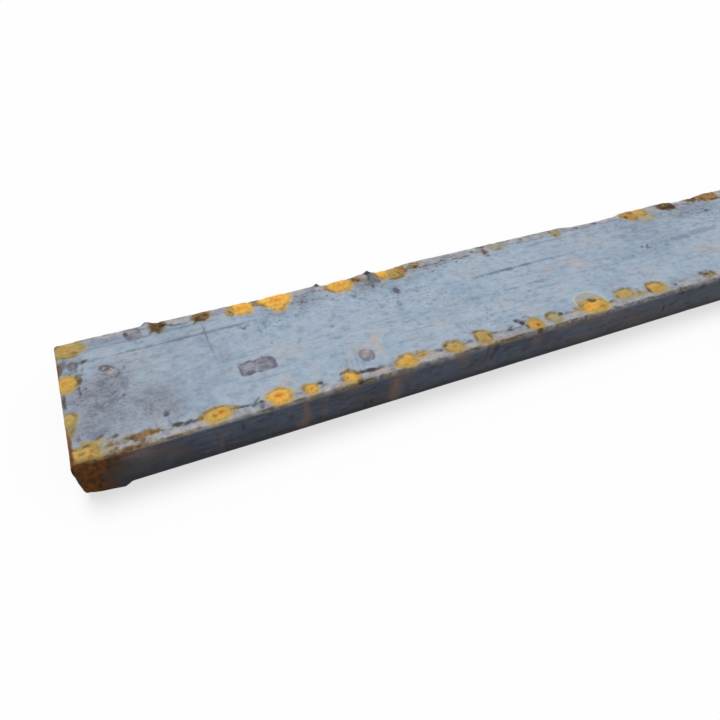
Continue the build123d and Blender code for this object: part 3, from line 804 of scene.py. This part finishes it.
# Flake scars, the rims of old drops, haze, the films and lines that water left, and brown runs.
flake_field = frayed("flake", 0.6, 0.8)
flaked = ramp(mottle, (0.36, (90, 88, 101)), (0.5, (117, 114, 126)), (0.64, (143, 138, 144)))
flake_edge = 1 - (flake_field * flake_field).rise(0.0, 0.6)
on_rim = (field("rim") + (pebble - 0.5) * 1.4).rise(-0.2, 0.7)
rim_breaks = 0.6 + 0.4 * grain(3.0, 1.0, 2.0, 71.0).over(-0.1, 0.1)
film_field = field("film") + (speckle - 0.5) * 0.6
film_breaks = 0.35 + 0.65 * grain(3.6, 1.0, 2.0, 101.0).over(-0.12, 0.1)
film_line = (1 - abs(film_field).rise(0.15, 0.9)) * film_breaks
olive_line = (1 - abs(film_field - 0.5).rise(0.2, 1.5)) * film_breaks
how_olive = field("olive")
run_stain = field("run") * (0.25 + 1.2 * grain(2.4, 0.5, 3.0, 37.0, 2.0)) * (1 - streak.over(0.05, 0.2) * 0.5)
scale = scale.coats(
    (flaked, flake_field.rise(-0.3, 0.5) * 0.84),
    ((78, 72, 82), flake_edge * grain(3.0, 1.0, 2.0, 27.0).over(-0.08, 0.14) * 0.8),
    ((84, 66, 66), on_rim * rim_breaks * 0.92),
    ((198, 172, 150), field("haze") * (0.2 + 0.7 * blotch)),
    ((162, 152, 124), film_field.rise(-0.2, 0.8) * (0.32 + 0.4 * blotch + 0.24 * how_olive)),
    ((158, 148, 122), film_field.rise(0.2, 1.6) * how_olive * 0.55),
    ((196, 193, 172), film_line * (1 - how_olive) * 0.9),
    ((128, 126, 92), olive_line * how_olive * 0.9),
    ((160, 134, 122), run_stain * 0.9),
)

# Rust. A bloom has a yellow stain round it, a dark olive rim that painted shade darkens on the side away from
# the arris, a yellow body and an orange heart, and an old one is brown.
bloom_tone, how_brown = field("tone"), field("brown")
bloom_field = frayed("bloom", 0.7, 1.3)
rusted = bloom_field.rise(-1.3, 1.3)
stain = (field("bloom") + (mottle - 0.5) * 2.4).rise(-2.4, 0.2)
body = ramp(
    bloom_tone, (0.0, (160, 158, 136)), (0.3, (178, 157, 99)), (0.56, (202, 167, 88)),
    (0.8, (222, 176, 84)), (1.0, (240, 190, 90)),
)
heart_colour = ramp(
    bloom_tone, (0.0, (146, 136, 100)), (0.3, (166, 128, 66)), (0.56, (208, 150, 58)),
    (0.8, (228, 154, 52)), (1.0, (236, 156, 48)),
)
old_heart_colour = ramp(bloom_tone, (0.2, (176, 146, 92)), (0.6, (196, 132, 60)))
brown_rust = ramp(crumb, (0.36, (108, 80, 54)), (0.5, (146, 110, 72)), (0.64, (184, 146, 96)))
olive_rust = ramp(crumb, (0.36, (84, 74, 54)), (0.5, (124, 108, 76)), (0.64, (156, 140, 104)))
brown_rust = brown_rust.mix(olive_rust, bloom_tone.under(0.0, 0.4))
black_rust = ramp(grit, (0.34, (52, 40, 30)), (0.5, (82, 60, 40)), (0.62, (132, 98, 58)))
old = how_brown + (crumb - 0.5) * 0.9
old_heart = field("heart").rise(-0.4, 0.8) * how_brown.rise(0.6, 0.9) * crumb.over(-0.1, 0.1)
outline = (1 - bloom_field.rise(0.2, 2.2)) * (0.12 + 0.88 * grain(6.5, 1.0, 2.0, 57.0).over(-0.06, 0.1))
rust = body.shade(0.82 + 0.28 * bloom_field.rise(0.2, 3.6))
rust = rust.coats(
    (heart_colour, (bloom_field + (crumb - 0.5) * 5).rise(1.4, 4.0) * 0.5),
    (body.shade(1.2), crumb.over(0.02, 0.18) * bloom_field.rise(0.6, 2.4) * 0.8),
    ((150, 134, 74), mottle.under(0.02, 0.16) * 0.5),
    (heart_colour, (field("heart") + (pebble - 0.5) * 2.4).rise(-0.6, 1.0) * 0.8),
    ((150, 98, 38), (field("heart") + (crumb - 0.5) * 6).rise(0.8, 2.2) * 0.55),
    ((140, 100, 48), crumb.under(0.07, 0.2) * 0.6),
    ((104, 76, 38), grit.over(0.1, 0.2) * 0.4),
    (brown_rust, old.rise(0.2, 0.6)),
    (black_rust, old.rise(0.6, 0.95)),
    (old_heart_colour, old_heart * 0.8),
    # Painted shade: the olive rim darkens on the side away from the arris and toward the left.
    ((102, 86, 50), outline * (0.25 + 0.75 * field("rimward").rise(-0.5, 0.8)) * 0.85),
)

# Dark marks on scale and on rust, and the crust of heavy rust.
mark_dark = field("dark")
marked = frayed("mark", 0.9, 0.9).rise(-0.7, 0.7) * mark_dark.rise(0.0, 0.7)
mark_ink = ramp(mark_dark, (0.3, (100, 120, 138)), (0.6, (86, 90, 103)), (0.9, (54, 45, 44)))
rust_ink = ramp(mark_dark, (0.4, (140, 112, 62)), (0.7, (92, 68, 38)), (1.0, (50, 38, 28)))
crusted = field("crust")
crust_noise = (pebble - 0.5) * 0.6 + (blotch - 0.5) * 1.1 + (mottle - 0.5)
crust_field = (crusted + crust_noise).rise(0.15, 0.95) * crusted.rise(0.02, 0.25)
heavy = ramp(grain(3.4, 0.6, 3.0, 60.0), (0.32, (78, 54, 38)), (0.5, (122, 77, 42)), (0.68, (154, 94, 44)))
heavy = heavy.shade((0.66 + 0.5 * blotch + 0.14 * crusted) * (0.74 + 0.26 * field("narrow")))
surface = scale.coats(
    (body.mix((146, 136, 106), 0.5), stain * 0.5 * (1 - 0.6 * how_brown) * (0.4 + blotch)),
    (mark_ink, marked * (1 - rusted * 0.4)),
    (rust, rusted * (0.75 + 0.25 * bloom_tone.rise(0.04, 0.3))),
    (rust_ink, marked * rusted * 0.9),
    (heavy, crust_field),
)

# The sheared ends: a smooth land with the blade's lines down it, then torn steel, both gone brown.
on_land = field("land")
torn_grain = grain(1.6, 1.0, 4.0, 70.0)
torn_colour = ramp(torn_grain, (0.3, (60, 47, 40)), (0.5, (94, 70, 52)), (0.72, (134, 96, 62)))
torn_colour = torn_colour.coats(
    ((112, 106, 104), grain(4.5, 1.0, 3.0, 110.0).over(0.0, 0.16) * 0.6),
    ((140, 84, 42), blotch.under(0.0, 0.16) * 0.65),
    ((50, 40, 36), mottle.over(0.04, 0.2) * 0.6),
)
down_land = new.node("ShaderNodeVectorMath", {"operation": "MULTIPLY"}, {0: spot, 1: (0.3, 2.2, 0.16)})
blade_lines = new.node("ShaderNodeTexNoise", {}, {"Vector": down_land, "Scale": 1.0, "Detail": 3.0}, "Fac")
land_colour = ramp(blade_lines, (0.32, (84, 72, 64)), (0.5, (124, 112, 104)), (0.68, (160, 148, 140)))
land_colour = land_colour.mix((130, 88, 52), mottle.over(-0.04, 0.12) * 0.7)
surface = surface.mix(torn_colour.mix(land_colour, on_land), field("at_end"))

# The finest relief, in mm: grains of scale, rust and crust, sunk marks, the blade's lines and torn steel.
relief = (speckle - 0.5) * 0.05 + (pebble - 0.5) * 0.07 + (streak - 0.5) * 0.03
relief = relief + rusted * ((grain(1.3, 1.0, 3.0, 80.0) - 0.5) * 0.3) + crust_field * ((pebble - 0.5) * 0.3)
relief = relief - marked * 0.12 + on_land * ((blade_lines - 0.5) * 0.2)
relief = relief + field("at_end") * ((grit - 0.5) * 0.25) * (1 - on_land)
bump = new.node("ShaderNodeBump", {}, {"Strength": 0.8, "Distance": 0.001, "Height": relief}, "Normal")
roughness = 0.5 + 0.12 * pebble + 0.3 * rusted.or_more(crust_field)
shader = new.node(
    "ShaderNodeBsdfPrincipled", {},
    {"Base Color": surface, "Roughness": roughness, "Specular IOR Level": 0.2, "Normal": bump}, "BSDF",
)
new.node("ShaderNodeOutputMaterial", {}, {"Surface": shader})
mesh.materials.append(steel)
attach(bar, "root")
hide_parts("flat_bar")

# The floor: a plain pale sheet that the bar lies on, lit through so that it reads as white. It isn't part of
# the object. It lies a hair below the bar, so that the two faces don't fight.
FLOOR_HALF = 6.0
FLOOR_GAP = 0.0002
FLOOR_GLOW = 0.65  # the share of its own light in what the camera sees of it
floor_mesh = bpy.data.meshes.new("studio_floor")
corners = [(a * FLOOR_HALF, b * FLOOR_HALF, -FLOOR_GAP) for a, b in ((-1, -1), (1, -1), (1, 1), (-1, 1))]
floor_mesh.from_pydata(corners, [], [(0, 1, 2, 3)])
floor = bpy.data.objects.new("studio_floor", floor_mesh)
bpy.context.collection.objects.link(floor)
sheet = bpy.data.materials.new("pale_sheet")
sheet.use_nodes = True
sheet.node_tree.nodes.clear()
new = Link(sheet.node_tree)


def seen():
    """1 for the camera's rays and for what gloss and glass mirror, 0 for light that the surface passes on."""
    camera_ray = new.node("ShaderNodeLightPath", {}, {}, "Is Camera Ray")
    glossy_ray = new.node("ShaderNodeLightPath", {}, {}, "Is Glossy Ray")
    clear_ray = new.node("ShaderNodeLightPath", {}, {}, "Is Transmission Ray")
    return camera_ray.or_more(glossy_ray.or_more(clear_ray))


# The camera sees a bright sheet, but what light it throws back onto the bar is that of a duller one.
WHITE = (1.0, 1.0, 1.0, 1.0)
pale = new.node("ShaderNodeBsdfDiffuse", {}, {"Color": paint(252, 252, 252)}, "BSDF")
lit = new.node("ShaderNodeEmission", {}, {"Color": WHITE, "Strength": 1.0}, "Emission")
bright = new.node("ShaderNodeMixShader", {}, {0: FLOOR_GLOW, 1: pale, 2: lit}, "Shader")
dull = new.node("ShaderNodeBsdfDiffuse", {}, {"Color": paint(140, 140, 140)}, "BSDF")
both = new.node("ShaderNodeMixShader", {}, {0: seen(), 1: dull, 2: bright}, "Shader")
new.node("ShaderNodeOutputMaterial", {}, {"Surface": both})
floor_mesh.materials.append(sheet)

# The light: an even pale sky all round, and one wide soft lamp above and behind the bar. It is far enough
# away to light the whole length and the floor evenly.
SKY_LEVEL = 0.3
LAMP_FROM = Vector((-0.19, 0.45, 0.87))
LAMP_DISTANCE = 3.0
LAMP_WIDTH = radians(40)
LAMP_STRENGTH = 2.55
sky = bpy.data.worlds.new("studio_sky")
sky.use_nodes = True
sky.node_tree.nodes.clear()
new = Link(sky.node_tree)
level = SKY_LEVEL + (1 - SKY_LEVEL) * seen()
backdrop = new.node("ShaderNodeBackground", {}, {"Color": WHITE, "Strength": level}, "Background")
new.node("ShaderNodeOutputWorld", {}, {"Surface": backdrop})
bpy.context.scene.world = sky

lamp = bpy.data.lights.new("wide_soft_lamp", "SUN")
lamp.angle = LAMP_WIDTH
lamp.energy = LAMP_STRENGTH
lamp_object = bpy.data.objects.new("wide_soft_lamp", lamp)
lamp_object.rotation_euler = (-LAMP_FROM).to_track_quat("-Z", "Y").to_euler()
lamp_object.location = LAMP_FROM * LAMP_DISTANCE
bpy.context.collection.objects.link(lamp_object)

# The camera: hand-held above the left end, looking along the bar to the right. Its place, aim and roll are
# solved from the bar's edges in the photograph.
CAMERA_PLACE = Vector((-0.462806, -0.231334, 0.233884))
CAMERA_AIM = Vector((0.31192, 0.658936, -0.684477))
CAMERA_ROLL = radians(2.288)
LENS = 32.207
SENSOR_WIDTH = 36.0
camera = bpy.data.cameras.new("photo_camera")
camera.sensor_width, camera.lens = SENSOR_WIDTH, LENS
camera.clip_start = 0.01
camera_object = bpy.data.objects.new("photo_camera", camera)
camera_object.location = CAMERA_PLACE
camera_object.rotation_mode = "QUATERNION"
camera_object.rotation_quaternion = CAMERA_AIM.to_track_quat("-Z", "Y") @ Quaternion((0, 0, 1), CAMERA_ROLL)
bpy.context.collection.objects.link(camera_object)
bpy.context.scene.camera = camera_object
bpy.context.scene.view_settings.view_transform = "Standard"
